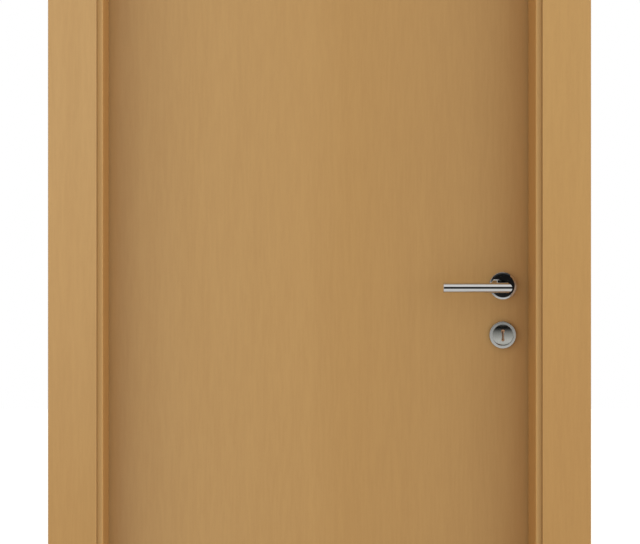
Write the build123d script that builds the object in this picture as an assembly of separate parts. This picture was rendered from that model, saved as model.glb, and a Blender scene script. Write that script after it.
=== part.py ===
from build123d import *
import os

# A flush door leaf in a rebated timber frame with flat casings, seen from its push side.
# Millimetres. X runs from the hinge side to the lock side, Y from the push side to the pull side, Z up.
# The origin is on the wall face of the hinge jamb, at mid depth, at floor level.

# Doorway and frame
passage_width = 800
jamb_thickness = 35
rebate_depth = 18.5
reveal_depth = 95
jamb_arris = 3

# Leaf
leaf_height = 2030
leaf_thickness = 35
leaf_skin = 4
stile_width = 40
rail_width = 60
leaf_arris = 1
batten_height = 70
batten_count = 12
lock_block_width = 100
lock_block_beyond_case = 77.5

# Running gaps round the leaf
hinge_gap = 5
lock_gap = 7
head_gap = 5
floor_gap = 8
shoulder_gap = 5

# Casings
casing_width = 90
casing_thickness = 8
casing_arris = 1.5
front_margin = 10.5
knuckle_casing_gap = 2.5

# Seals in the shoulder of the rebate
seal_width = 8
seal_root_width = 2.6
seal_root_depth = 7
seal_root_clearance = 0.2
seal_leaf_clearance = 0.3
seal_edge_distance = 3

# Hinges
hinge_height = 100
hinge_flap_width = 28
hinge_flap_thickness = 3
knuckle_radius = 7
knuckle_leaf_gap = 1
knuckle_count = 5
knuckle_end_gap = 0.3
hinge_pin_radius = 3.5
hinge_pin_clearance = 0.05
pin_head_radius = 5.5
pin_head_height = 3
top_hinge_from_top = 200
bottom_hinge_from_bottom = 250

# Lock in the edge of the leaf
lever_height = 1050
key_drop = 94
backset = 60
faceplate_width = 22
faceplate_beyond_case = 15.5
faceplate_thickness = 3
case_wall = 1
case_behind_spindle = 28
case_above_lever = 35
case_below_key = 36
case_clearance = 0.25
bolt_clearance = 0.2
latch_width = 12
latch_height = 20
latch_length = 34
latch_rise = 4
dead_bolt_width = 9
dead_bolt_height = 30
dead_bolt_length = 34

# Strike plate and the pockets behind it
strike_thickness = 3
strike_margin = 2
pocket_wall = 3.5

# Levers and roses
rose_radius = 26
rose_thickness = 9
rose_edge_radius = 3.5
bar_radius = 9.5
bar_reach = 119
bar_standoff = 54
bar_end_arris = 1
neck_clearance = 0.05
spindle_side = 8
spindle_in_lever = 25
spindle_clearance = 0.05
socket_end_gap = 1
leaf_hole_radius = 11
key_rose_edge_radius = 1.5
key_ring_width = 5.5
key_groove_width = 1
key_groove_depth = 2.8
key_dome_rise = 1.7
keyhole_radius = 3.1
keyhole_lobe_radius = 2.7
keyhole_slot_width = 2.8
keyhole_above = 7.5
keyhole_below = 7.5

# Places that follow from the sizes above
front_y = -(reveal_depth + leaf_thickness) / 2
leaf_front_y = front_y + reveal_depth
back_y = leaf_front_y + leaf_thickness
leaf_mid_y = (leaf_front_y + back_y) / 2
shoulder_y = leaf_front_y - shoulder_gap
kerf_floor_y = shoulder_y - seal_root_depth - seal_root_clearance

hinge_passage_x = jamb_thickness
lock_passage_x = hinge_passage_x + passage_width
hinge_rebate_x = hinge_passage_x - rebate_depth
lock_rebate_x = lock_passage_x + rebate_depth
leaf_hinge_x = hinge_rebate_x + hinge_gap
leaf_lock_x = lock_rebate_x - lock_gap

leaf_bottom_z = floor_gap
leaf_top_z = leaf_bottom_z + leaf_height
head_rebate_z = leaf_top_z + head_gap
head_passage_z = head_rebate_z - rebate_depth
frame_top_z = head_passage_z + jamb_thickness

lock_x = leaf_lock_x - backset
key_z = lever_height - key_drop
latch_z = lever_height + latch_rise
faceplate_x = leaf_lock_x - faceplate_thickness
case_back_x = lock_x - case_behind_spindle
case_thickness = latch_width + 2 * case_wall
case_top_z = lever_height + case_above_lever
case_bottom_z = key_z - case_below_key
plate_z_range = (case_bottom_z - faceplate_beyond_case, case_top_z + faceplate_beyond_case)
block_z_range = (case_bottom_z - lock_block_beyond_case, case_top_z + lock_block_beyond_case)
pocket_depth = jamb_thickness - rebate_depth - strike_thickness - pocket_wall
core_front_y = leaf_front_y + leaf_skin
core_back_y = back_y - leaf_skin

axis_x = (hinge_rebate_x + leaf_hinge_x) / 2
axis_y = back_y + knuckle_radius + knuckle_leaf_gap
back_margin = hinge_rebate_x - axis_x + knuckle_radius + knuckle_casing_gap
bar_front_y = leaf_front_y - bar_standoff

hinge_heights = {
    "bottom": leaf_bottom_z + bottom_hinge_from_bottom,
    "middle": (leaf_bottom_z + bottom_hinge_from_bottom + leaf_top_z - top_hinge_from_top) / 2,
    "top": leaf_top_z - top_hinge_from_top,
}


def block(x_range, y_range, z_range):
    """A rectangular block that fills three ranges."""
    spans = [high - low for low, high in (x_range, y_range, z_range)]
    middles = [(low + high) / 2 for low, high in (x_range, y_range, z_range)]
    return Pos(*middles) * Box(*spans)


def round_along_y(radius, x, y_range, z):
    """A round bar that runs front to back."""
    return Pos(x, sum(y_range) / 2, z) * Rot(90, 0, 0) * Cylinder(radius, y_range[1] - y_range[0])


def board(outline, y_range):
    """A flat board in the plane of the wall, from its outline in X and Z."""
    face = Plane.XZ * make_face(Polyline(*outline, close=True))
    return Pos(0, y_range[1], 0) * extrude(face, amount=y_range[1] - y_range[0])


def mirrored_to_lock_side(shape):
    """The same shape on the other side of the doorway."""
    middle = (hinge_passage_x + lock_passage_x) / 2
    return Pos(2 * middle, 0, 0) * mirror(shape, about=Plane.YZ)


def hinge_recess(x_range, z):
    """The housing of one hinge flap in the edge that carries it."""
    half = hinge_height / 2
    return block(x_range, (back_y - hinge_flap_width, back_y), (z - half, z + half))


def seal_kerf_ranges():
    """Distances from the passage face between which the kerf of the seal lies."""
    middle = seal_edge_distance + seal_width / 2
    half = seal_root_width / 2 + seal_root_clearance
    return middle - half, middle + half


def side_jamb():
    """Upright board of the frame, as on the hinge side."""
    return block((0, hinge_rebate_x), (front_y, back_y), (0, frame_top_z))


def side_stop():
    """Upright stop that forms the rebate, with the kerf of the seal, as on the hinge side."""
    stop = block((hinge_rebate_x, hinge_passage_x), (front_y, shoulder_y), (0, head_rebate_z))
    arris = stop.edges().filter_by(Axis.Z).group_by(Axis.Y)[0].sort_by(Axis.X)[-1]
    stop = fillet(arris, jamb_arris)
    near, far = seal_kerf_ranges()
    kerf_x = (hinge_passage_x - far, hinge_passage_x - near)
    return stop - block(kerf_x, (kerf_floor_y, shoulder_y), (0, head_rebate_z))


def hinge_jamb():
    """Upright board of the hinge side, housed for the hinge flaps."""
    jamb = side_jamb()
    for z in hinge_heights.values():
        jamb -= hinge_recess((hinge_rebate_x - hinge_flap_thickness, hinge_rebate_x), z)
    return jamb


def bolt_hole_ranges():
    """Ranges in Y and Z of the latch hole and of the bolt hole in the strike plate."""
    holes = []
    for width, height, z in (
        (latch_width, latch_height, latch_z),
        (dead_bolt_width, dead_bolt_height, key_z),
    ):
        half_width = width / 2 + strike_margin
        half_height = height / 2 + strike_margin
        holes.append(((leaf_mid_y - half_width, leaf_mid_y + half_width), (z - half_height, z + half_height)))
    return holes


def plate_ranges():
    """Ranges in Y and Z shared by the strike plate and the plate in the edge of the leaf."""
    half_width = faceplate_width / 2
    return (leaf_mid_y - half_width, leaf_mid_y + half_width), plate_z_range


def lock_jamb():
    """Upright board of the lock side, housed for the strike plate, with a pocket behind each of its holes."""
    jamb = mirrored_to_lock_side(side_jamb())
    plate_back_x = lock_rebate_x + strike_thickness
    jamb -= block((lock_rebate_x, plate_back_x), *plate_ranges())
    for y_range, z_range in bolt_hole_ranges():
        jamb -= block((plate_back_x, plate_back_x + pocket_depth), y_range, z_range)
    return jamb


def head_jamb():
    """Top board of the frame, between the upright boards."""
    return block((hinge_rebate_x, lock_rebate_x), (front_y, back_y), (head_rebate_z, frame_top_z))


def head_stop():
    """Stop under the top board, between the upright stops, with the same kerf."""
    x_range = (hinge_passage_x, lock_passage_x)
    stop = block(x_range, (front_y, shoulder_y), (head_passage_z, head_rebate_z))
    arris = stop.edges().filter_by(Axis.X).group_by(Axis.Y)[0].sort_by(Axis.Z)[0]
    stop = fillet(arris, jamb_arris)
    near, far = seal_kerf_ranges()
    return stop - block(x_range, (kerf_floor_y, shoulder_y), (head_passage_z + near, head_passage_z + far))


def casing_set(margin_x, margin_z, y_range, shown_end):
    """Left, right and head casings of one face of the frame, mitred at the corners."""
    inner_left, inner_right = margin_x
    outer_left = inner_left - casing_width
    outer_right = inner_right + casing_width
    outer_z = margin_z + casing_width
    inner_top = [(inner_left, margin_z), (inner_right, margin_z)]
    outlines = {
        "left": [(outer_left, 0), (inner_left, 0), (inner_left, margin_z), (outer_left, outer_z)],
        "right": [(inner_right, 0), (outer_right, 0), (outer_right, outer_z), (inner_right, margin_z)],
        "head": [*inner_top, (outer_right, outer_z), (outer_left, outer_z)],
    }
    casings = {}
    for name, outline in outlines.items():
        piece = board(outline, y_range)
        along = Axis.X if name == "head" else Axis.Z
        arrises = piece.edges().filter_by(along).group_by(Axis.Y)[shown_end]
        casings[name] = fillet(arrises, casing_arris)
    return casings


def front_casings():
    """Casings of the push side, set back a little from the passage faces."""
    sides = (hinge_passage_x - front_margin, lock_passage_x + front_margin)
    return casing_set(sides, head_passage_z + front_margin, (front_y - casing_thickness, front_y), 0)


def back_casings():
    """Casings of the pull side, set back from the rebates so that the knuckles stand clear."""
    sides = (hinge_rebate_x - back_margin, lock_rebate_x + back_margin)
    return casing_set(sides, head_rebate_z + back_margin, (back_y, back_y + casing_thickness), -1)


def seal_section():
    """Section of the seal: a bulb on the shoulder and its root in the kerf, across and in depth."""
    low, high = seal_edge_distance, seal_edge_distance + seal_width
    middle = (low + high) / 2
    crown = shoulder_gap - seal_leaf_clearance
    root = seal_root_width / 2
    outline = [
        Line((middle - root, 0), (low, 0)),
        ThreePointArc((low, 0), (middle, crown), (high, 0)),
        Line((high, 0), (middle + root, 0)),
        Line((middle + root, 0), (middle + root, -seal_root_depth)),
        Line((middle + root, -seal_root_depth), (middle - root, -seal_root_depth)),
        Line((middle - root, -seal_root_depth), (middle - root, 0)),
    ]
    return make_face(Curve() + outline)


def seal_strip(start, outward, length):
    """A length of seal whose section grows outward from the passage face and stands on the shoulder."""
    plane = Plane(origin=start, x_dir=outward, z_dir=Vector(*outward).cross(Vector(0, 1, 0)))
    return extrude(plane * seal_section(), amount=length)


def side_seal():
    """Upright seal of the hinge side, from the floor to the top edge of the head seal."""
    top_z = head_passage_z + seal_edge_distance + seal_width
    return seal_strip((hinge_passage_x, shoulder_y, top_z), (-1, 0, 0), top_z)


def head_seal():
    """Seal along the head, between the uprights."""
    return seal_strip((lock_passage_x, shoulder_y, head_passage_z), (0, 0, 1), passage_width)


def strike_plate():
    """Plate in the lock jamb with the holes for the latch and the bolt."""
    plate = block((lock_rebate_x, lock_rebate_x + strike_thickness), *plate_ranges())
    for y_range, z_range in bolt_hole_ranges():
        plate -= block((lock_rebate_x, lock_rebate_x + strike_thickness), y_range, z_range)
    return plate


def knuckle_spans(z, first):
    """Height ranges of every second knuckle of the hinge at z, from the given one."""
    pitch = hinge_height / knuckle_count
    bottom = z - hinge_height / 2
    spans = []
    for index in range(first, knuckle_count, 2):
        low = bottom + index * pitch
        spans.append((low + knuckle_end_gap / 2, low + pitch - knuckle_end_gap / 2))
    return spans


def hinge_flap(x_range, z, first):
    """One flap of a hinge with its knuckles, bored for the pin."""
    half = hinge_height / 2
    flap = block(x_range, (back_y - hinge_flap_width, back_y), (z - half, z + half))
    for low, high in knuckle_spans(z, first):
        flap += block(x_range, (back_y, axis_y), (low, high))
        flap += Pos(axis_x, axis_y, (low + high) / 2) * Cylinder(knuckle_radius, high - low)
    bore = Cylinder(hinge_pin_radius + hinge_pin_clearance, hinge_height)
    return flap - Pos(axis_x, axis_y, z) * bore


def frame_flap(z):
    """Flap in the hinge jamb, with the outer and middle knuckles."""
    return hinge_flap((hinge_rebate_x - hinge_flap_thickness, hinge_rebate_x), z, 0)


def leaf_flap(z):
    """Flap in the edge of the leaf, with the knuckles between those of the frame."""
    return hinge_flap((leaf_hinge_x, leaf_hinge_x + hinge_flap_thickness), z, 1)


def hinge_pin(z):
    """Pin through the knuckles, with a head at each end."""
    reach = hinge_height / 2 - knuckle_end_gap / 2
    pin = Pos(axis_x, axis_y, z) * Cylinder(hinge_pin_radius, 2 * reach)
    for side in (-1, 1):
        head_z = z + side * (reach + pin_head_height / 2)
        pin += Pos(axis_x, axis_y, head_z) * Cylinder(pin_head_radius, pin_head_height)
    return pin


def leaf_holes(y_range):
    """Holes through the leaf for the spindle and the key, in a range of depth."""
    spindle_hole = round_along_y(leaf_hole_radius, lock_x, y_range, lever_height)
    key_hole = round_along_y(leaf_hole_radius, lock_x, y_range, key_z)
    return spindle_hole + key_hole


def leaf_skin_panel(y_range, shown_end):
    """Panel over one whole face of the leaf, cut for whatever of the lock and hinges reaches it."""
    panel = block((leaf_hinge_x, leaf_lock_x), y_range, (leaf_bottom_z, leaf_top_z))
    panel = fillet(panel.edges().filter_by(Axis.Z).group_by(Axis.Y)[shown_end], leaf_arris)
    panel -= leaf_holes(y_range)
    panel -= block((faceplate_x, leaf_lock_x), *plate_ranges())
    for z in hinge_heights.values():
        panel -= hinge_recess((leaf_hinge_x, leaf_hinge_x + hinge_flap_thickness), z)
    return panel


def core_block(x_range, z_range):
    """A block of the inner frame of the leaf, between the skins."""
    return block(x_range, (core_front_y, core_back_y), z_range)


def hinge_stile():
    """Upright on the hinge side of the leaf, housed for the hinge flaps."""
    stile = core_block((leaf_hinge_x, leaf_hinge_x + stile_width), (leaf_bottom_z, leaf_top_z))
    for z in hinge_heights.values():
        stile -= hinge_recess((leaf_hinge_x, leaf_hinge_x + hinge_flap_thickness), z)
    return stile


def case_pocket():
    """Space that the lock case needs in the lock side of the leaf."""
    half = case_thickness / 2 + case_clearance
    x_range = (case_back_x - case_clearance, faceplate_x)
    z_range = (case_bottom_z - case_clearance, case_top_z + case_clearance)
    return block(x_range, (leaf_mid_y - half, leaf_mid_y + half), z_range)


def lock_stile():
    """Upright on the lock side of the leaf, mortised for the lock."""
    stile = core_block((leaf_lock_x - stile_width, leaf_lock_x), (leaf_bottom_z, leaf_top_z))
    stile -= case_pocket()
    stile -= leaf_holes((core_front_y, core_back_y))
    return stile - block((faceplate_x, leaf_lock_x), *plate_ranges())


def lock_block():
    """Block beside the lock stile that carries the lock case and the roses."""
    high_x = leaf_lock_x - stile_width
    piece = core_block((high_x - lock_block_width, high_x), block_z_range)
    piece -= case_pocket()
    return piece - leaf_holes((core_front_y, core_back_y))


def rail(low_z, high_z):
    """Rail between the stiles of the leaf."""
    return core_block((leaf_hinge_x + stile_width, leaf_lock_x - stile_width), (low_z, high_z))


def core_battens():
    """Evenly spaced battens that fill the leaf in part and stop at the lock block."""
    low_z = leaf_bottom_z + rail_width
    high_z = leaf_top_z - rail_width
    pitch = (high_z - low_z) / batten_count
    block_low_z, block_high_z = block_z_range
    left_x = leaf_hinge_x + stile_width
    battens = []
    for index in range(batten_count):
        middle_z = low_z + (index + 0.5) * pitch
        z_range = (middle_z - batten_height / 2, middle_z + batten_height / 2)
        beside_block = z_range[0] < block_high_z and z_range[1] > block_low_z
        right_x = leaf_lock_x - stile_width - (lock_block_width if beside_block else 0)
        battens.append(core_block((left_x, right_x), z_range))
    return Compound(battens)


def keyhole_cut(y_range):
    """Keyhole through a piece: a round head, a slot and a small lobe at its foot."""
    top_z = key_z + keyhole_above
    foot_z = key_z - keyhole_below
    head = round_along_y(keyhole_radius, lock_x, y_range, top_z)
    lobe = round_along_y(keyhole_lobe_radius, lock_x, y_range, foot_z)
    half = keyhole_slot_width / 2
    return head + lobe + block((lock_x - half, lock_x + half), y_range, (foot_z, top_z))


def bolt_shape(width, height, length, z, clearance):
    """A bolt drawn back flush with the edge of the leaf, or the channel that it slides in."""
    half_width = width / 2 + clearance
    half_height = height / 2 + clearance
    x_range = (leaf_lock_x - length - clearance, leaf_lock_x)
    y_range = (leaf_mid_y - half_width, leaf_mid_y + half_width)
    return block(x_range, y_range, (z - half_height, z + half_height))


def latch_bolt(clearance=0):
    """Spring latch level with the lever."""
    return bolt_shape(latch_width, latch_height, latch_length, latch_z, clearance)


def dead_bolt(clearance=0):
    """Bolt that the key throws."""
    return bolt_shape(dead_bolt_width, dead_bolt_height, dead_bolt_length, key_z, clearance)


def lock_case():
    """Case in the mortise, bored for the spindle and cut for the key and the bolts."""
    half = case_thickness / 2
    y_range = (leaf_mid_y - half, leaf_mid_y + half)
    case = block((case_back_x, faceplate_x), y_range, (case_bottom_z, case_top_z))
    corner_radius = spindle_side / 2 ** 0.5 + spindle_clearance
    case -= round_along_y(corner_radius, lock_x, y_range, lever_height)
    case -= keyhole_cut(y_range)
    return case - latch_bolt(bolt_clearance) - dead_bolt(bolt_clearance)


def lock_faceplate():
    """Plate in the edge of the leaf round the ends of the two bolts."""
    plate = block((faceplate_x, leaf_lock_x), *plate_ranges())
    return plate - latch_bolt(bolt_clearance) - dead_bolt(bolt_clearance)


def mirrored_to_back(shape):
    """The same shape on the other face of the leaf."""
    return Pos(0, 2 * leaf_mid_y, 0) * mirror(shape, about=Plane.XZ)


def turned_rose(outline, z):
    """A rose turned about the axis of its hole, from its outline in radius and height off the leaf."""
    face = make_face(Curve() + outline)
    rose = revolve(mirror(face, about=Plane.XZ), axis=Axis.Y)
    return Pos(lock_x, leaf_front_y, z) * rose


def lever_rose():
    """Round rose under the lever, flat with a well rounded edge, on the push side."""
    shoulder = rose_thickness - rose_edge_radius
    flat_radius = rose_radius - rose_edge_radius
    bore_radius = bar_radius + neck_clearance
    outline = [
        Line((bore_radius, 0), (rose_radius, 0)),
        Line((rose_radius, 0), (rose_radius, shoulder)),
        RadiusArc((rose_radius, shoulder), (flat_radius, rose_thickness), -rose_edge_radius),
        Line((flat_radius, rose_thickness), (bore_radius, rose_thickness)),
        Line((bore_radius, rose_thickness), (bore_radius, 0)),
    ]
    return turned_rose(outline, lever_height)


def key_rose():
    """Round rose round the keyhole on the push side: a flat ring, a groove and a low dome inside it."""
    shoulder = rose_thickness - key_rose_edge_radius
    flat_radius = rose_radius - key_rose_edge_radius
    groove_outer = rose_radius - key_ring_width
    dome_radius = groove_outer - key_groove_width
    groove_floor = rose_thickness - key_groove_depth
    dome_edge = rose_thickness - key_dome_rise
    dome_curve = (dome_radius**2 + key_dome_rise**2) / (2 * key_dome_rise)
    outline = [
        Line((0, 0), (rose_radius, 0)),
        Line((rose_radius, 0), (rose_radius, shoulder)),
        RadiusArc((rose_radius, shoulder), (flat_radius, rose_thickness), -key_rose_edge_radius),
        Line((flat_radius, rose_thickness), (groove_outer, rose_thickness)),
        Line((groove_outer, rose_thickness), (groove_outer, groove_floor)),
        Line((groove_outer, groove_floor), (dome_radius, groove_floor)),
        Line((dome_radius, groove_floor), (dome_radius, dome_edge)),
        RadiusArc((dome_radius, dome_edge), (0, rose_thickness), -dome_curve),
        Line((0, rose_thickness), (0, 0)),
    ]
    return turned_rose(outline, key_z) - keyhole_cut((leaf_front_y - rose_thickness, leaf_front_y))


def lever():
    """Round bar lever on the push side: a straight grip mitred to a neck that turns in the rose."""
    end_x = lock_x - bar_reach
    path = Polyline(
        (end_x, bar_front_y, lever_height),
        (lock_x, bar_front_y, lever_height),
        (lock_x, leaf_front_y, lever_height),
    )
    section = Plane(origin=(end_x, bar_front_y, lever_height), z_dir=(1, 0, 0)) * Circle(bar_radius)
    bar = sweep(section, path=path, transition=Transition.RIGHT)
    bar = fillet(bar.edges().sort_by(Axis.X)[0], bar_end_arris)
    half = spindle_side / 2 + spindle_clearance
    socket_y = leaf_front_y - spindle_in_lever - socket_end_gap
    z_range = (lever_height - half, lever_height + half)
    return bar - block((lock_x - half, lock_x + half), (socket_y, leaf_front_y), z_range)


def lever_spindle():
    """Square spindle that joins the two levers through the lock."""
    half = spindle_side / 2
    y_range = (leaf_front_y - spindle_in_lever, back_y + spindle_in_lever)
    return block((lock_x - half, lock_x + half), y_range, (lever_height - half, lever_height + half))


def pieces():
    """Every piece of the door by its name."""
    made = {
        "hinge_jamb": hinge_jamb(),
        "lock_jamb": lock_jamb(),
        "head_jamb": head_jamb(),
        "hinge_side_stop": side_stop(),
        "lock_side_stop": mirrored_to_lock_side(side_stop()),
        "head_stop": head_stop(),
        "hinge_side_seal": side_seal(),
        "lock_side_seal": mirrored_to_lock_side(side_seal()),
        "head_seal": head_seal(),
        "strike_plate": strike_plate(),
        "leaf_front_skin": leaf_skin_panel((leaf_front_y, core_front_y), 0),
        "leaf_back_skin": leaf_skin_panel((core_back_y, back_y), -1),
        "leaf_hinge_stile": hinge_stile(),
        "leaf_lock_stile": lock_stile(),
        "leaf_top_rail": rail(leaf_top_z - rail_width, leaf_top_z),
        "leaf_bottom_rail": rail(leaf_bottom_z, leaf_bottom_z + rail_width),
        "leaf_lock_block": lock_block(),
        "leaf_core": core_battens(),
        "lock_case": lock_case(),
        "lock_faceplate": lock_faceplate(),
        "latch_bolt": latch_bolt(),
        "dead_bolt": dead_bolt(),
        "front_lever_rose": lever_rose(),
        "back_lever_rose": mirrored_to_back(lever_rose()),
        "front_key_rose": key_rose(),
        "back_key_rose": mirrored_to_back(key_rose()),
        "front_lever": lever(),
        "back_lever": mirrored_to_back(lever()),
        "lever_spindle": lever_spindle(),
    }
    for name, piece in front_casings().items():
        made[f"front_{name}_casing"] = piece
    for name, piece in back_casings().items():
        made[f"back_{name}_casing"] = piece
    for name, z in hinge_heights.items():
        made[f"{name}_hinge_frame_flap"] = frame_flap(z)
        made[f"{name}_hinge_leaf_flap"] = leaf_flap(z)
        made[f"{name}_hinge_pin"] = hinge_pin(z)
    return made


os.makedirs("parts", exist_ok=True)
for name, piece in pieces().items():
    export_step(piece, f"parts/{name}.step")
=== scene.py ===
import math

import bpy
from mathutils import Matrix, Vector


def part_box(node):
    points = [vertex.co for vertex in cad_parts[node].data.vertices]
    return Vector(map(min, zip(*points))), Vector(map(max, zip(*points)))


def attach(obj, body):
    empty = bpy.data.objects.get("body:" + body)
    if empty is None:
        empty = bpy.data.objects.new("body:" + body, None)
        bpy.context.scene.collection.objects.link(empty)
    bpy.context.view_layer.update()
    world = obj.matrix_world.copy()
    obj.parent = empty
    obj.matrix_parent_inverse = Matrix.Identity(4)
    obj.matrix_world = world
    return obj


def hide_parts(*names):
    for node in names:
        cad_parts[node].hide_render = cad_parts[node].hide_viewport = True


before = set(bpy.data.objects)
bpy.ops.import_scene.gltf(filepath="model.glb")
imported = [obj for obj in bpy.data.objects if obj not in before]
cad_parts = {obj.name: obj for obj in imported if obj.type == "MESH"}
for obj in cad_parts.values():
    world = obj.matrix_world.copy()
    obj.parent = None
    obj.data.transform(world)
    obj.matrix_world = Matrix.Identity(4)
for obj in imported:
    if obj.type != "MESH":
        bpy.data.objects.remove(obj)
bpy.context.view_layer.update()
bpy.ops.object.select_all(action="DESELECT")

# The photograph's frame and the camera solved from the edges of the casings, the stops and the leaf
PHOTO_WIDTH = 640
PHOTO_HEIGHT = 544
FOCAL_PIXELS = 1491.1
AXIS_PIXEL = (289.7, 165)
SENSOR_WIDTH = 36
CAMERA_X = 0.380
CAMERA_TO_LEAF = 2.850
CAMERA_HEIGHT = 1.2802

# Round pieces
ROUND_SIDES = 96
SMALL_SIDES = 32
SMOOTH_ANGLE = math.radians(35)

# Width of the band of faces that keeps an edge crisp
SUPPORT = 0.0003

# How near two corners must be to count as one, in turned pieces and in the levers
FINE_JOIN = 1e-7
JOIN = 1e-5

# The frame's own measures
leaf_low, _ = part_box("leaf_front_skin")
_, leaf_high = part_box("leaf_back_skin")
LEAF_FRONT = leaf_low.y
LEAF_BACK = leaf_high.y
LEAF_MIDDLE = (LEAF_FRONT + LEAF_BACK) / 2
key_low, key_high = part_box("front_key_rose")
KEY_X = (key_low.x + key_high.x) / 2
KEY_Z = (key_low.z + key_high.z) / 2
rose_low, rose_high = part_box("front_lever_rose")
ROSE_X = (rose_low.x + rose_high.x) / 2
ROSE_Z = (rose_low.z + rose_high.z) / 2


class Value:
    """A shader socket that takes part in Python arithmetic."""

    def __init__(self, graph, socket):
        self.graph = graph
        self.socket = socket

    def maths(self, operation, *terms):
        return self.graph.node("ShaderNodeMath", {"operation": operation}, dict(enumerate(terms)))

    def __add__(self, other):
        return self.maths("ADD", self, other)

    def __sub__(self, other):
        return self.maths("SUBTRACT", self, other)

    def __mul__(self, other):
        return self.maths("MULTIPLY", self, other)

    def __truediv__(self, other):
        return self.maths("DIVIDE", self, other)

    def __rsub__(self, other):
        return self.maths("SUBTRACT", other, self)

    __radd__ = __add__

    def size(self):
        return self.maths("ABSOLUTE", self)

    def between(self, low, high):
        """0 up to low, 1 from high on, and smooth from one to the other."""
        terms = {"Value": self, "From Min": low, "From Max": high}
        return self.graph.node("ShaderNodeMapRange", {"interpolation_type": "SMOOTHSTEP"}, terms)


class Graph:
    """The node tree of a finish or of the world."""

    def __init__(self, tree):
        self.tree = tree

    def node(self, kind, settings=None, inputs=None, output=0):
        """Adds a node of any kind: its settings come first, then the values or links of its sockets."""
        made = self.tree.nodes.new(kind)
        for name, setting in (settings or {}).items():
            if name == "stops":
                self.set_stops(made.color_ramp, setting)
            else:
                setattr(made, name, setting)
        for name, value in (inputs or {}).items():
            self.feed(made.inputs[name], value)
        return Value(self, made.outputs[output])

    def set_stops(self, ramp, stops):
        ramp.elements.remove(ramp.elements[1])
        first_place, first_colour = stops[0]
        ramp.elements[0].position = first_place
        ramp.elements[0].color = (*first_colour, 1)
        for place, colour in stops[1:]:
            ramp.elements.new(place).color = (*colour, 1)

    def feed(self, socket, value):
        if isinstance(value, Value):
            self.tree.links.new(value.socket, socket)
        else:
            socket.default_value = value

    def mix(self, factor, first, second):
        """Colour between two colours."""
        terms = {0: factor, 6: first, 7: second}
        return self.node("ShaderNodeMix", {"data_type": "RGBA"}, terms, output=2)

    def place(self):
        return self.node("ShaderNodeTexCoord", output="Object")

    def split(self, vector):
        """The three numbers of a vector."""
        parts = self.node("ShaderNodeSeparateXYZ", inputs={0: vector})
        outputs = parts.socket.node.outputs
        return [Value(self, outputs[index]) for index in range(3)]

    def stretched(self, vector, scale, offset=(0, 0, 0)):
        return self.node("ShaderNodeMapping", inputs={"Vector": vector, "Scale": scale, "Location": offset})

    def graded(self, run, stops):
        """Colour that goes from stop to stop along a run in metres."""
        start, end = stops[0][0], stops[-1][0]
        places = [((place - start) / (end - start), colour) for place, colour in stops]
        return self.node("ShaderNodeValToRGB", {"stops": places}, {0: (run - start) / (end - start)})

    def noise(self, vector, detail=2, roughness=0.5):
        """Noise about a half, whose scale is in the vector."""
        grain = {"Vector": vector, "Scale": 1.0, "Detail": detail, "Roughness": roughness}
        return self.node("ShaderNodeTexNoise", inputs=grain)


class Finish(Graph):
    """A material built round one Principled shader."""

    def __init__(self, name, **sockets):
        self.material = bpy.data.materials.new(name)
        self.material.use_nodes = True
        super().__init__(self.material.node_tree)
        self.shader = self.tree.nodes["Principled BSDF"]
        self.set(**sockets)

    def set(self, **sockets):
        for name, value in sockets.items():
            self.feed(self.shader.inputs[name.replace("_", " ").title()], value)

    def bump(self, height, distance):
        normal = self.node("ShaderNodeBump", inputs={"Height": height, "Strength": 1.0, "Distance": distance})
        self.feed(self.shader.inputs["Normal"], normal)


def linear(red, green, blue):
    """A screen colour, 0 to 255, as the linear colour that a shader takes."""
    parts = [part / 255 for part in (red, green, blue)]
    return tuple(part / 12.92 if part <= 0.04045 else ((part + 0.055) / 1.055) ** 2.4 for part in parts)


def shaded(colour, factor):
    return (*(part * factor for part in colour), 1)


def grey(light):
    return (light, light, light, 1)


# Finishes

BEECH = linear(199, 154, 91)
BEECH_DARK = linear(160, 112, 56)
BEECH_ROUGHNESS = 0.48
BEECH_SHEEN_SPREAD = 0.08
BEECH_RELIEF = 0.00003
SOFTWOOD_LIGHT = linear(214, 184, 138)
SOFTWOOD_DARK = linear(184, 146, 98)
SEAL_LIGHT = linear(112, 78, 48)
SEAL_DARK = linear(92, 62, 38)
# Pale brown painted inside the keyhole: painted light that stands in for the lit wood and lock seen through
# it
KEYHOLE_LIGHT = linear(212, 173, 138)
KEYHOLE_DARK = linear(188, 148, 113)

# Marks of the grain of beech: their width and run in metres, and how far each darkens the veneer
RIBBON = (0.026, 0.35)
STREAK = (0.005, 0.06)
FLECK = (0.0008, 0.004)
RIBBON_DEPTH = 0.06
STREAK_DEPTH = 0.10
FLECK_DEPTH = 0.10
MARK_RELIEF = 0.6

# Parts of a noise that are spread from nothing to full
SOFT_MARKS = (0.3, 0.7)
FEW_MARKS = (0.62, 0.7)
SEAL_MARKS = (0.35, 0.65)
STEEL_MARKS = (0.25, 0.75)

# How far a face looks along Y, from a narrow side to a broad face: narrow faces of the casings take painted
# shade
BROAD_FACING = (0.6, 0.8)

# Tints along a run in metres, to multiply the colour of beech by: mostly painted light, shade and sheen
# Across the leaf: painted shade at both edges beside the stops, a painted bluish sheen over the left part,
# and a step to a slightly darker right part
LEAF_TONE_AND_PAINTED_LIGHT = (
    (0.035, (0.86, 0.84, 0.86)),
    (0.06, (0.92, 0.98, 1.18)),
    (0.10, (1.01, 1.08, 1.26)),
    (0.20, (1.03, 1.08, 1.20)),
    (0.42, (1.01, 1.03, 1.07)),
    (0.49, (0.97, 0.97, 0.96)),
    (0.79, (0.97, 0.98, 1.00)),
    (0.815, (0.92, 0.91, 0.93)),
    (0.835, (0.86, 0.83, 0.82)),
)
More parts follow.
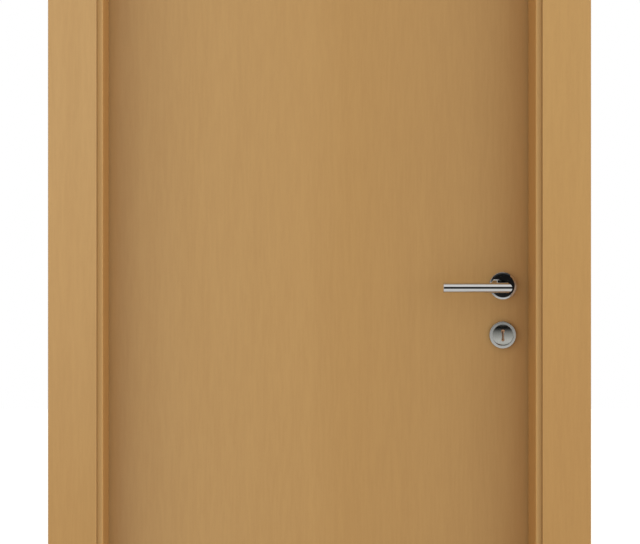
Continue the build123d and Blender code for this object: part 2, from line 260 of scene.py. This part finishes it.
# Up the left casing: painted light from above, lighter towards the top, with a painted bluish sheen there
LEFT_CASING_PAINTED_LIGHT = (
    (0.60, (0.98, 0.97, 0.96)),
    (0.86, (1.01, 1.03, 1.12)),
    (1.10, (1.06, 1.10, 1.24)),
    (1.35, (1.07, 1.13, 1.32)),
)
# Up the right casing: painted light from above, lighter towards the top, and darker than the left casing:
# painted shade
RIGHT_CASING_PAINTED_LIGHT = (
    (0.60, (0.97, 0.94, 0.87)),
    (0.86, (0.99, 0.96, 0.91)),
    (1.10, (1.02, 1.01, 0.96)),
    (1.35, (1.03, 1.04, 1.02)),
)
# Through the stops from front to back: a painted highlight with bluish sheen on the front edge, then painted
# shade on the reveal, warm like light bounced off the wood
STOP_PAINTED_SHADE_AND_HIGHLIGHT = (
    (-0.065, (1.06, 1.08, 1.12)),
    (-0.062, (0.98, 0.96, 0.92)),
    (-0.058, (0.87, 0.79, 0.69)),
    (0.025, (0.85, 0.77, 0.67)),
)


def beech(name, seed, grade, along="Z", run=2, side=1.0):
    """Matt lacquered beech veneer: short streaks and tiny ray flecks along the grain, over a slow grade,
    which on the leaf, stops and casings is painted light and shade.

    A board's narrow sides may be darker than its broad faces, which look along Y: painted shade.
    """
    finish = Finish(name)
    place = finish.place()
    across, length = (1.0, 0.0) if along == "Z" else (0.0, 1.0)

    def grain(width, run):
        wide, long = 1 / width, 1 / run
        scale = (wide * across + long * length, wide, wide * length + long * across)
        return finish.stretched(place, scale, (seed * 3.7, seed * 1.3, seed * 2.1))

    ribbon = finish.noise(grain(*RIBBON)).between(*SOFT_MARKS)
    streak = finish.noise(grain(*STREAK), detail=3, roughness=0.65).between(*SOFT_MARKS)
    fleck = finish.noise(grain(*FLECK), detail=1).between(*FEW_MARKS)
    # The grade's colours carry painted light and shade where the grade holds them
    stops = [(at, tuple(part * factor for part, factor in zip(BEECH, factors))) for at, factors in grade]
    ground = finish.graded(finish.split(place)[run], stops)
    depth = ribbon * RIBBON_DEPTH + streak * STREAK_DEPTH + fleck * FLECK_DEPTH
    veneer = finish.mix(depth, ground, shaded(BEECH_DARK, 1))
    # Painted shade: narrow faces darken towards the dark beech times the given factor
    if side < 1:
        facing = finish.split(finish.node("ShaderNodeTexCoord", output="Normal"))[1].size()
        veneer = finish.mix(facing.between(*BROAD_FACING), shaded(BEECH_DARK, side), veneer)
    finish.set(Base_Color=veneer)
    finish.set(Roughness=BEECH_ROUGHNESS + streak * BEECH_SHEEN_SPREAD)
    finish.bump(streak * MARK_RELIEF + fleck * -MARK_RELIEF, BEECH_RELIEF)
    return finish.material


def even(*factors):
    """A grade without change."""
    return ((0.0, factors), (1.0, factors))


def softwood(name):
    """Planed softwood of the inner frame of the leaf."""
    finish = Finish(name, Roughness=0.7)
    streak = finish.noise(finish.stretched(finish.place(), (220, 220, 9)), detail=3)
    light, dark = shaded(SOFTWOOD_LIGHT, 1), shaded(SOFTWOOD_DARK, 1)
    finish.set(Base_Color=finish.mix(streak.between(*SOFT_MARKS), light, dark))
    finish.bump(streak, 0.0001)
    return finish.material


def seal_rubber(name):
    """Soft brown seal with a fine matt skin."""
    finish = Finish(name, Roughness=0.62)
    speck = finish.noise(finish.stretched(finish.place(), (900, 900, 900)))
    light, dark = shaded(SEAL_LIGHT, 1), shaded(SEAL_DARK, 1)
    finish.set(Base_Color=finish.mix(speck.between(*SEAL_MARKS), light, dark))
    finish.bump(speck, 0.00005)
    return finish.material


def steel(name, tone, roughness, brush, spread, form=None, satin=None):
    """Brushed stainless steel with a pressed form, or with a satin rim at the lower right, where given."""
    finish = Finish(name, Metallic=1.0)
    line = finish.noise(finish.stretched(finish.place(), brush)).between(*STEEL_MARKS)
    finish.set(Base_Color=finish.mix(line, shaded(tone, 1.0), shaded(tone, BRUSH_SHADE)))
    finish.set(Roughness=roughness + line * spread)
    if form:
        across, _, height = finish.split(finish.place())
        finish.bump(pressed(across - KEY_X, height - KEY_Z, *form), 1.0)
    if satin:
        across, _, height = finish.split(finish.place())
        aside, up = across - ROSE_X, height - ROSE_Z
        rim = (aside * aside + up * up).between(*SATIN_RIM)
        lower = (up * -1).between(*SATIN_LOWER)
        finish.set(Metallic=1 - rim * lower * aside.between(*SATIN_SIDE) * satin)
    return finish.material


def pressed(across, up, lean, bow, crown, flatness):
    """Height of the face of the key rose: it leans by some degrees, bows and falls off at its top."""
    square = up * up
    leaning = up * math.tan(math.radians(lean))
    return leaning - square * bow - square * square * crown + across * across * flatness


def keyhole_painted_light(name):
    """Pale brown walls and shelf of the keyhole: painted light that stands in for the lit wood and lock seen
    through it.
    """
    finish = Finish(name, Roughness=0.6)
    speck = finish.noise(finish.stretched(finish.place(), (700, 700, 700)))
    finish.set(Base_Color=finish.mix(speck, shaded(KEYHOLE_LIGHT, 1), shaded(KEYHOLE_DARK, 1)))
    return finish.material


# Metals: their tones, and how much darker a brushed line is
STEEL = (0.72, 0.71, 0.69)
KEY_RING = (0.60, 0.60, 0.57)
KEY_DOME = (0.50, 0.50, 0.46)
NICKEL = (0.70, 0.68, 0.64)
BRUSH_SHADE = 0.93

# Lean, bow, crown and flatness of the two faces of the key rose
RING_FORM = (9.8, 1.05, 0, 0)
DOME_FORM = (8.8, 0, 9000, 3.2)

# Where the satin rim of the lever rose sets in: squared metres from its axis, metres aside and metres down
SATIN_RIM = (0.0216**2, 0.0224**2)
SATIN_SIDE = (0.008, 0.016)
SATIN_LOWER = (-0.012, 0.006)

# Beech takes a seed, a grade of tint and painted light along the axis of its run, and the direction of its
# grain.
# Steel takes a tone, a roughness, the scale of its brushing and how far the roughness spreads.
finishes = {
    # Leaf: painted shade at its edges and painted sheen on its left, in its grade
    "leaf": beech("leaf_beech", 1.0, LEAF_TONE_AND_PAINTED_LIGHT, run=0),
    # Stops: painted highlight on the front edge and painted shade on the reveal
    "stop": beech("stop_beech", 4.0, STOP_PAINTED_SHADE_AND_HIGHLIGHT, run=1),
    "head_stop": beech("head_stop_beech", 5.0, STOP_PAINTED_SHADE_AND_HIGHLIGHT, along="X", run=1),
    "jamb": beech("jamb_beech", 6.0, even(0.96, 0.95, 0.93)),
    "head_jamb": beech("head_jamb_beech", 8.0, even(0.96, 0.95, 0.93), along="X"),
    # Casings: painted light from above in their grades, and painted shade on their narrow faces
    "left_casing": beech("left_casing_beech", 11.0, LEFT_CASING_PAINTED_LIGHT, side=0.8),
    "right_casing": beech("right_casing_beech", 13.0, RIGHT_CASING_PAINTED_LIGHT, side=0.8),
    # Head casing: lighter and bluer all over, painted light and sheen from above like the tops of the side
    # casings
    "head_casing": beech("head_casing_beech", 15.0, even(1.02, 1.06, 1.10), along="X"),
    "edge": beech("leaf_edge_beech", 17.0, even(0.97, 0.97, 0.97)),
    "softwood": softwood("planed_softwood"),
    "seal": seal_rubber("brown_seal"),
    "bar": steel("polished_bar", STEEL, 0.05, (60, 700, 700), spread=0.03),
    "rose": steel("polished_rose", STEEL, 0.03, (200, 200, 200), spread=0.02, satin=0.4),
    "key_ring": steel("satin_ring", KEY_RING, 0.22, (900, 900, 60), spread=0.05, form=RING_FORM),
    "key_dome": steel("satin_dome", KEY_DOME, 0.14, (900, 900, 60), spread=0.04, form=DOME_FORM),
    "hinge": steel("satin_hinge", NICKEL, 0.40, (500, 500, 500), spread=0.1),
    "lock": steel("satin_lock", NICKEL, 0.40, (1200, 1200, 60), spread=0.1),
    "screw": steel("satin_screw", NICKEL, 0.32, (900, 900, 900), spread=0.1),
    # Keyhole: painted light, pale brown for the lit wood seen through it
    "keyhole": keyhole_painted_light("keyhole_painted_light"),
}

node_finishes = {
    "leaf": ["leaf_front_skin", "leaf_back_skin"],
    "stop": ["hinge_side_stop", "lock_side_stop"],
    "jamb": ["hinge_jamb", "lock_jamb"],
    "head_stop": ["head_stop"],
    "head_jamb": ["head_jamb"],
    "left_casing": ["front_left_casing", "back_left_casing"],
    "right_casing": ["front_right_casing", "back_right_casing"],
    "head_casing": ["front_head_casing", "back_head_casing"],
    "edge": ["leaf_hinge_stile", "leaf_lock_stile"],
    "softwood": ["leaf_top_rail", "leaf_bottom_rail", "leaf_core", "leaf_lock_block"],
    "seal": ["hinge_side_seal", "lock_side_seal", "head_seal"],
    "bar": ["lever_spindle"],
    "lock": ["lock_case", "lock_faceplate", "latch_bolt", "dead_bolt", "strike_plate"],
    "hinge": [
        f"{place}_hinge_{part}"
        for place in ("top", "middle", "bottom")
        for part in ("frame_flap", "leaf_flap", "pin")
    ],
}
for finish_name, names in node_finishes.items():
    for name in names:
        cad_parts[name].material_slots[0].material = finishes[finish_name]


# Modelling


def edit(piece):
    """Opens one piece for editing, with all of it selected."""
    bpy.ops.object.select_all(action="DESELECT")
    bpy.context.view_layer.objects.active = piece
    piece.select_set(True)
    bpy.ops.object.mode_set(mode="EDIT")
    bpy.ops.mesh.select_all(action="SELECT")


def pick(piece, edges=None, faces=None):
    """Opens one piece with only those of its edges or faces selected that pass a test on their places."""
    edit(piece)
    bpy.ops.mesh.select_all(action="DESELECT")
    bpy.ops.mesh.select_mode(type="FACE" if faces else "EDGE")
    bpy.ops.object.mode_set(mode="OBJECT")
    corners = piece.data.vertices
    for edge in piece.data.edges if edges else ():
        edge.select = edges([corners[index].co for index in edge.vertices])
    for face in piece.data.polygons if faces else ():
        face.select = faces(face)
    bpy.ops.object.mode_set(mode="EDIT")


def leave(piece, name=None, finish=None):
    """Closes a piece: its place goes into its mesh, and it takes its name and finish."""
    if piece.mode == "EDIT":
        bpy.ops.object.mode_set(mode="OBJECT")
    bpy.ops.object.select_all(action="DESELECT")
    bpy.context.view_layer.objects.active = piece
    piece.select_set(True)
    bpy.ops.object.transform_apply(location=True, rotation=True, scale=True)
    if name:
        piece.name = name
    if finish:
        piece.data.materials.clear()
        piece.data.materials.append(finishes[finish])
    bpy.ops.object.shade_smooth_by_angle(angle=SMOOTH_ANGLE)
    piece.select_set(False)
    return piece


def ring_turned(profile, sides=ROUND_SIDES, closed=True):
    """Turns a profile of (radius, height) about local Z: a closed ring, or a shape capped at both ends."""
    start_radius, start_height = profile[0]
    fill = "NOTHING" if closed else "NGON"
    place = (0, 0, start_height)
    bpy.ops.mesh.primitive_circle_add(vertices=sides, radius=start_radius, fill_type=fill, location=place)
    piece = bpy.context.object
    edit(piece)
    radius, height = start_radius, start_height
    for next_radius, next_height in profile[1:] + (profile[:1] if closed else []):
        if closed:
            bpy.ops.mesh.extrude_edges_move(TRANSFORM_OT_translate={"value": (0, 0, next_height - height)})
        else:
            bpy.ops.mesh.extrude_region_move(TRANSFORM_OT_translate={"value": (0, 0, next_height - height)})
        ratio = next_radius / radius
        if ratio != 1:
            bpy.ops.transform.resize(value=(ratio, ratio, 1))
        radius, height = next_radius, next_height
    bpy.ops.mesh.select_all(action="SELECT")
    bpy.ops.mesh.remove_doubles(threshold=FINE_JOIN)
    bpy.ops.mesh.normals_make_consistent(inside=False)
    bpy.ops.object.mode_set(mode="OBJECT")
    return piece


def arc(centre, radius, start, end, steps):
    """Points of a profile along an arc, from one angle in degrees to another."""
    points = []
    for step in range(steps + 1):
        angle = math.radians(start + (end - start) * step / steps)
        points.append((centre[0] + radius * math.cos(angle), centre[1] + radius * math.sin(angle)))
    return points


def stand_on_front(piece, x, z):
    """Turns a piece made about local Z to point out of the front face of the leaf, and puts it there."""
    piece.rotation_euler = (math.radians(90), 0, 0)
    piece.location = (x, LEAF_FRONT, z)
    return piece


def cut(piece, cutter):
    """Takes one shape out of another."""
    modifier = piece.modifiers.new("cut", "BOOLEAN")
    modifier.operation = "DIFFERENCE"
    modifier.solver = "EXACT"
    modifier.object = cutter
    bpy.context.view_layer.objects.active = piece
    bpy.ops.object.modifier_apply(modifier=modifier.name)
    bpy.data.objects.remove(cutter)


def copy_to_back(piece, name):
    """The mirror image of a piece on the other face of the leaf, with its own mesh."""
    twin = piece.copy()
    twin.data = piece.data.copy()
    bpy.context.scene.collection.objects.link(twin)
    twin.scale = (1, -1, 1)
    twin.location = (0, 2 * LEAF_MIDDLE, 0)
    leave(twin, name)
    edit(twin)
    bpy.ops.mesh.normals_make_consistent(inside=False)
    bpy.ops.object.mode_set(mode="OBJECT")
    return twin


def register(piece, body, node):
    """Says what a finished piece moves with and stands for."""
    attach(piece, body)
    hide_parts(node)


# Levers

bar_low, bar_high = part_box("front_lever")
BAR_RADIUS = (bar_high.z - bar_low.z) / 2
BAR_Z = (bar_high.z + bar_low.z) / 2
BAR_Y = bar_low.y + BAR_RADIUS
NECK_X = bar_high.x - BAR_RADIUS
BAR_END_ARRIS = 0.0008
BAR_END_AREA = 1e-4
SQUARE_ON = 0.999
MITRE_SPARE = 0.001
GRUB_RADIUS = 0.0022
GRUB_FROM_ROSE = 0.009
GRUB_DEPTH = 0.003

ROSE_RADIUS = (rose_high.x - rose_low.x) / 2
ROSE_THICKNESS = rose_high.y - rose_low.y
ROSE_EDGE = 0.0006
ROSE_SLOPE_WIDTH = 0.0042
ROSE_SLOPE_ANGLE = 12
ROSE_BEND_RADIUS = 0.005
NECK_CLEARANCE = 0.00005


def mitred_lever():
    """A straight round grip mitred to the neck that turns in the rose."""
    grip_length = NECK_X + BAR_RADIUS + MITRE_SPARE - bar_low.x
    bpy.ops.mesh.primitive_cylinder_add(
        vertices=ROUND_SIDES,
        radius=BAR_RADIUS,
        depth=grip_length,
        location=(bar_low.x + grip_length / 2, BAR_Y, BAR_Z),
        rotation=(0, math.radians(90), 0),
    )
    grip = leave(bpy.context.object)
    edit(grip)
    mitre = {"plane_co": (NECK_X, BAR_Y, BAR_Z), "plane_no": (1, 1, 0)}
    bpy.ops.mesh.bisect(**mitre, use_fill=False, clear_outer=True)
    bpy.ops.object.mode_set(mode="OBJECT")

    neck_length = LEAF_FRONT - BAR_Y + BAR_RADIUS + MITRE_SPARE
    bpy.ops.mesh.primitive_cylinder_add(
        vertices=ROUND_SIDES,
        radius=BAR_RADIUS,
        depth=neck_length,
        location=(NECK_X, LEAF_FRONT - neck_length / 2, BAR_Z),
        rotation=(math.radians(90), 0, 0),
    )
    neck = leave(bpy.context.object)
    edit(neck)
    bpy.ops.mesh.bisect(**mitre, use_fill=False, clear_inner=True)
    bpy.ops.object.mode_set(mode="OBJECT")

    bpy.ops.object.select_all(action="DESELECT")
    neck.select_set(True)
    grip.select_set(True)
    bpy.context.view_layer.objects.active = grip
    bpy.ops.object.join()
    edit(grip)
    bpy.ops.mesh.remove_doubles(threshold=JOIN)
    bpy.ops.mesh.normals_make_consistent(inside=False)
    bpy.ops.object.mode_set(mode="OBJECT")
    pick(grip, edges=lambda ends: all(abs(end.x - bar_low.x) < JOIN for end in ends))
    bpy.ops.mesh.bevel(offset=BAR_END_ARRIS, segments=4)
    bpy.ops.mesh.select_all(action="SELECT")
    support_x = bar_low.x + BAR_END_ARRIS + SUPPORT
    bpy.ops.mesh.bisect(plane_co=(support_x, BAR_Y, BAR_Z), plane_no=(1, 0, 0))
    bpy.ops.object.mode_set(mode="OBJECT")
    pick(grip, faces=lambda face: face.normal.x < -SQUARE_ON and face.area > BAR_END_AREA)
    bpy.ops.mesh.inset(thickness=SUPPORT)
    bpy.ops.object.mode_set(mode="OBJECT")
    return grip


def grub_hole():
    """Cutter of the hole of the grub screw, in the underside of the neck."""
    y = LEAF_FRONT - ROSE_THICKNESS - GRUB_FROM_ROSE
    bpy.ops.mesh.primitive_cylinder_add(
        vertices=SMALL_SIDES,
        radius=GRUB_RADIUS,
        depth=2 * GRUB_DEPTH,
        location=(NECK_X, y, BAR_Z - BAR_RADIUS),
    )
    return leave(bpy.context.object)


front_lever = mitred_lever()
cut(front_lever, grub_hole())
leave(front_lever, "front_lever_bar", "bar")
back_lever = copy_to_back(front_lever, "back_lever_bar")
register(front_lever, "levers", "front_lever")
register(back_lever, "levers", "back_lever")


# Roses

KEY_ROSE_EDGE = 0.0015
KEY_RING_WIDTH = 0.0055
KEY_GROOVE_WIDTH = 0.001
KEY_GROOVE_DEPTH = 0.0028
KEY_DOME_RISE = 0.0015
KEY_DOME_TOP_ANGLE = 89.7
KEYHOLE_SIDES = 48
KEY_DOME_STEPS = 14
KEY_DOME_MARGIN = 0.0001
KEYHOLE_FROM_GROOVE = 0.003
UPRIGHT = 0.2
KEYHOLE_RADIUS = 0.0031
KEYHOLE_LOBE_RADIUS = 0.0027
KEYHOLE_SLOT_WIDTH = 0.0028
KEYHOLE_RISE = 0.0075
KEYHOLE_FALL = 0.0092
KEYHOLE_RIM = 0.0008
KEYHOLE_SHELF = 0.0062
KEYHOLE_GUIDE_WIDTH = 0.0012


def lever_rose():
    """Flat polished rose with a shallow sloped rim and a small round edge, bored for the neck."""
    bore = BAR_RADIUS + NECK_CLEARANCE
    angle = math.radians(ROSE_SLOPE_ANGLE)
    steepest = 90 - ROSE_SLOPE_ANGLE
    bend_start = ROSE_RADIUS - ROSE_SLOPE_WIDTH
    bend = arc((bend_start, ROSE_THICKNESS - ROSE_BEND_RADIUS), ROSE_BEND_RADIUS, steepest, 90, 4)
    brink = ROSE_RADIUS - ROSE_EDGE
    slope_end = brink + ROSE_EDGE * math.sin(angle)
    slope_end_height = bend[0][1] - (slope_end - bend[0][0]) * math.tan(angle)
    edge = arc((brink, slope_end_height - ROSE_EDGE * math.cos(angle)), ROSE_EDGE, 0, steepest, 8)
    hold = (slope_end - SUPPORT, slope_end_height + SUPPORT * math.tan(angle))
    flat = (bend_start - SUPPORT, ROSE_THICKNESS)
    profile = [(bore, 0), (ROSE_RADIUS, 0), *edge, hold, *bend, flat, (bore, ROSE_THICKNESS)]
    return stand_on_front(ring_turned(profile), NECK_X, BAR_Z)


def flared_slot(width, bottom):
    """Cutter of the slot of the keyhole from a height up, wider at the face of the rose."""
    top = ROSE_THICKNESS - KEYHOLE_RIM
    middle = (KEYHOLE_RISE - KEYHOLE_FALL) / 2
    bpy.ops.mesh.primitive_cube_add(size=1, location=(0, middle, (top + bottom) / 2))
    slot = bpy.context.object
    slot.scale = (width, KEYHOLE_RISE + KEYHOLE_FALL, top - bottom)
    leave(slot)
    pick(slot, faces=lambda face: face.normal.z > 0.5)
    bpy.ops.mesh.extrude_region_move(TRANSFORM_OT_translate={"value": (0, 0, 2 * KEYHOLE_RIM)})
    bpy.ops.transform.resize(value=((width + 4 * KEYHOLE_RIM) / width, 1, 1))
    bpy.ops.mesh.select_mode(type="VERT")
    bpy.ops.object.mode_set(mode="OBJECT")
    return slot


def flared_round(radius, y):
    """Cutter of one round end of the keyhole down to the shelf, wider at the face of the rose."""
    top = ROSE_THICKNESS - KEYHOLE_RIM
    flare = (radius + 2 * KEYHOLE_RIM, top + 2 * KEYHOLE_RIM)
    profile = [(radius, KEYHOLE_SHELF), (radius, top), flare]
    cutter = ring_turned(profile, sides=KEYHOLE_SIDES, closed=False)
    cutter.location.y = y
    return leave(cutter)


def key_rose():
    """Satin rose: a flat ring, a groove, and a low dome with a keyhole over a shelf with a slot; the
    keyhole's walls and shelf are painted light, a pale brown that stands in for lit wood seen through it.
    """
    shoulder = (ROSE_RADIUS - KEY_ROSE_EDGE, ROSE_THICKNESS - KEY_ROSE_EDGE)
    groove_outer = ROSE_RADIUS - KEY_RING_WIDTH
    dome_radius = groove_outer - KEY_GROOVE_WIDTH
    floor = ROSE_THICKNESS - KEY_GROOVE_DEPTH
    curve = (dome_radius**2 + KEY_DOME_RISE**2) / (2 * KEY_DOME_RISE)
    edge_angle = math.degrees(math.acos(dome_radius / curve))
    dome = arc((0, ROSE_THICKNESS - curve), curve, edge_angle, KEY_DOME_TOP_ANGLE, KEY_DOME_STEPS)
    edge = arc(shoulder, KEY_ROSE_EDGE, 0, 90, 6)
    profile = [(ROSE_RADIUS, 0), *edge, (shoulder[0] - SUPPORT, ROSE_THICKNESS)]
    profile += [(groove_outer, ROSE_THICKNESS), (groove_outer, floor), (dome_radius, floor)] + dome
    rose = leave(ring_turned(profile, closed=False))
    cut(rose, flared_round(KEYHOLE_RADIUS, KEYHOLE_RISE))
    cut(rose, flared_round(KEYHOLE_LOBE_RADIUS, -KEYHOLE_FALL))
    cut(rose, flared_slot(KEYHOLE_SLOT_WIDTH, KEYHOLE_SHELF))
    cut(rose, flared_slot(KEYHOLE_GUIDE_WIDTH, -ROSE_THICKNESS))
    for name in ("key_ring", "key_dome", "keyhole"):
        rose.data.materials.append(finishes[name])
    # The keyhole's upright walls and its shelf take the pale brown painted light
    for face in rose.data.polygons:
        from_axis = math.hypot(face.center.x, face.center.y)
        below = abs(face.normal.z) < UPRIGHT or face.center.z < KEYHOLE_SHELF + SUPPORT
        inside = below and from_axis < dome_radius - KEYHOLE_FROM_GROOVE
        on_dome = from_axis < dome_radius - KEY_DOME_MARGIN
        face.material_index = 2 if inside else int(on_dome)
    return stand_on_front(rose, NECK_X, KEY_Z)


for make, kind, finish_name in ((lever_rose, "lever_rose", "rose"), (key_rose, "key_rose", None)):
    front = leave(make(), f"front_{kind}_turned", finish_name)
    back = copy_to_back(front, f"back_{kind}_turned")
    register(front, "leaf", f"front_{kind}")
    register(back, "leaf", f"back_{kind}")


# Screws

SCREW_RADIUS = 0.0042
SCREW_RISE = 0.0003
SCREW_EDGE = 0.0002
CROSS_REACH = 0.0026
CROSS_WIDTH = 0.0009
CROSS_DEPTH = 0.0002
HINGE_SCREWS = ((0.009, -0.015), (0.009, 0.015), (0.02, -0.038), (0.02, 0.038))
PLATE_SCREW_FROM_END = 0.007


def screw_head():
    """Low countersunk head with a cross recess, pointing up local Z from the face that it sits in."""
    bpy.ops.mesh.primitive_cylinder_add(vertices=SMALL_SIDES, radius=SCREW_RADIUS, depth=2 * SCREW_RISE)
    head = bpy.context.object
    pick(head, edges=lambda ends: all(end.z > 0 for end in ends))
    bpy.ops.mesh.bevel(offset=SCREW_EDGE, segments=3)
    bpy.ops.object.mode_set(mode="OBJECT")
    for turn in (0, 90):
        bpy.ops.mesh.primitive_cube_add(size=1, location=(0, 0, SCREW_RISE))
        blade = bpy.context.object
        blade.scale = (2 * CROSS_REACH, CROSS_WIDTH, 2 * CROSS_DEPTH)
        blade.rotation_euler = (0, 0, math.radians(turn))
        cut(head, leave(blade))
    return leave(head, "screw_pattern", "screw")


def set_screw(name, place, outward, turn, body):
    """Sets a copy of the pattern in a face that looks along X, its cross turned by some degrees."""
    screw = screw_pattern.copy()
    screw.data = screw_pattern.data.copy()
    bpy.context.scene.collection.objects.link(screw)
    screw.rotation_euler = (math.radians(turn), math.radians(90 * outward), 0)
    screw.location = place
    leave(screw, name)
    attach(screw, body)


screw_pattern = screw_head()
for place in ("top", "middle", "bottom"):
    for part, body, outward in (("frame_flap", "frame", 1), ("leaf_flap", "leaf", -1)):
        flap_low, flap_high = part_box(f"{place}_hinge_{part}")
        face_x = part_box("hinge_jamb")[1].x if part == "frame_flap" else leaf_low.x
        middle_z = (flap_low.z + flap_high.z) / 2
        for index, (from_edge, rise) in enumerate(HINGE_SCREWS):
            spot = (face_x, LEAF_BACK - from_edge, middle_z + rise)
            name = f"{place}_hinge_{part}_screw_{index + 1}"
            set_screw(name, spot, outward, 25 + 37 * index, body)
for node, body, outward in (("lock_faceplate", "leaf", 1), ("strike_plate", "frame", -1)):
    plate_low, plate_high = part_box(node)
    face_x = plate_high.x if outward > 0 else plate_low.x
    heights = (plate_low.z + PLATE_SCREW_FROM_END, plate_high.z - PLATE_SCREW_FROM_END)
    for index, height in enumerate(heights):
        spot = (face_x, (plate_low.y + plate_high.y) / 2, height)
        set_screw(f"{node}_screw_{index + 1}", spot, outward, 15 + 50 * index, body)
bpy.data.objects.remove(screw_pattern)


# Floor, light and camera

FLOOR_SIZE = 10
FLOOR_COLOUR = (0.80, 0.78, 0.74)
FLOOR_SPECK_SHADE = 0.98
FLOOR_GLOW = 0.35

# What metal reflects ahead of the door: brightness by elevation in degrees
HORIZON_BANDS = (
    (-90, 0.46),
    (-65, 0.66),
    (-48, 0.80),
    (-36, 0.83),
    (-30, 0.70),
    (-23, 0.46),
    (-16, 0.22),
    (-10, 0.06),
    (-6, 0.025),
    (-4.2, 0.008),
    (8, 0.0),
    (22, 0.08),
    (29, 0.50),
    (36, 0.86),
    (62, 0.86),
    (78, 0.60),
    (90, 0.50),
)

# What it reflects aside and behind: brightness, and where each sets in along X or Y of the direction
GLOSS_LEFT = 0.55
GLOSS_RIGHT = 0.10
GLOSS_REAR = 0.7
REAR_SHARE = 0.5
LEFT_SIDE = (0.16, 0.40)
RIGHT_SIDE = (0.35, 0.75)
SIDE_TO_SIDE = (-0.3, 0.3)
REAR = (0.0, 0.3)

# The light of the dome: from ahead, more from both sides, and more from the right
DOME_FRONT = 0.66
DOME_SIDES = 1.30
DOME_RIGHT = 0.25


def pale_floor():
    """Floor that stays white to the camera outside the shadow of the frame; metal shows the bands instead."""
    bpy.ops.mesh.primitive_plane_add(size=FLOOR_SIZE, location=(NECK_X / 2, 0, 0))
    floor = leave(bpy.context.object, "pale_floor")
    finish = Finish("pale_floor", Roughness=0.9, Emission_Strength=FLOOR_GLOW)
    speck = finish.noise(finish.stretched(finish.place(), (3, 3, 3)))
    specked = shaded(FLOOR_COLOUR, FLOOR_SPECK_SHADE)
    finish.set(Base_Color=finish.mix(speck, shaded(FLOOR_COLOUR, 1), specked))
    camera = finish.node("ShaderNodeLightPath", output="Is Camera Ray")
    finish.set(Emission_Color=finish.mix(camera, grey(0), grey(1)))
    floor.data.materials.append(finish.material)
    floor.visible_glossy = False


def studio_world():
    """A pale dome, brighter from the sides; metal shows a dark horizon ahead, paler left and behind."""
    world = bpy.data.worlds.new("studio")
    bpy.context.scene.world = world
    world.use_nodes = True
    graph = Graph(world.node_tree)
    direction = graph.node("ShaderNodeTexCoord", output="Generated")
    across, along, height = graph.split(direction)
    elevation = height.maths("ARCSINE", height) * (180 / math.pi)
    stops = [((angle + 90) / 180, (light, light, light)) for angle, light in HORIZON_BANDS]
    bands = graph.node("ShaderNodeValToRGB", {"stops": stops}, {0: (elevation + 90) / 180})
    aside = (across * -1).between(*LEFT_SIDE) + across.between(*RIGHT_SIDE)
    flank = graph.mix(across.between(*SIDE_TO_SIDE), grey(GLOSS_LEFT), grey(GLOSS_RIGHT))
    ahead = graph.mix(aside, bands, flank)
    behind = graph.mix(REAR_SHARE, bands, grey(GLOSS_REAR))
    reflected = graph.mix(along.between(*REAR), ahead, behind)
    soft = across * across * DOME_SIDES + across * DOME_RIGHT + DOME_FRONT
    glossy = graph.node("ShaderNodeLightPath", output="Is Glossy Ray")
    camera = graph.node("ShaderNodeLightPath", output="Is Camera Ray")
    dome = graph.mix(glossy, soft, reflected)
    seen = graph.mix(camera, dome, grey(1))
    graph.feed(world.node_tree.nodes["Background"].inputs["Color"], seen)


def photo_camera():
    """The camera that took the photograph, level and square to the door, with its picture shifted."""
    data = bpy.data.cameras.new("camera")
    camera = bpy.data.objects.new("camera", data)
    bpy.context.scene.collection.objects.link(camera)
    data.sensor_width = SENSOR_WIDTH
    data.lens = FOCAL_PIXELS * SENSOR_WIDTH / PHOTO_WIDTH
    data.shift_x = (PHOTO_WIDTH / 2 - AXIS_PIXEL[0]) / PHOTO_WIDTH
    data.shift_y = (AXIS_PIXEL[1] - PHOTO_HEIGHT / 2) / PHOTO_WIDTH
    camera.location = (CAMERA_X, LEAF_FRONT - CAMERA_TO_LEAF, CAMERA_HEIGHT)
    camera.rotation_euler = (math.radians(90), 0, 0)
    bpy.context.scene.camera = camera


pale_floor()
studio_world()
photo_camera()
bpy.context.scene.view_settings.view_transform = "Standard"
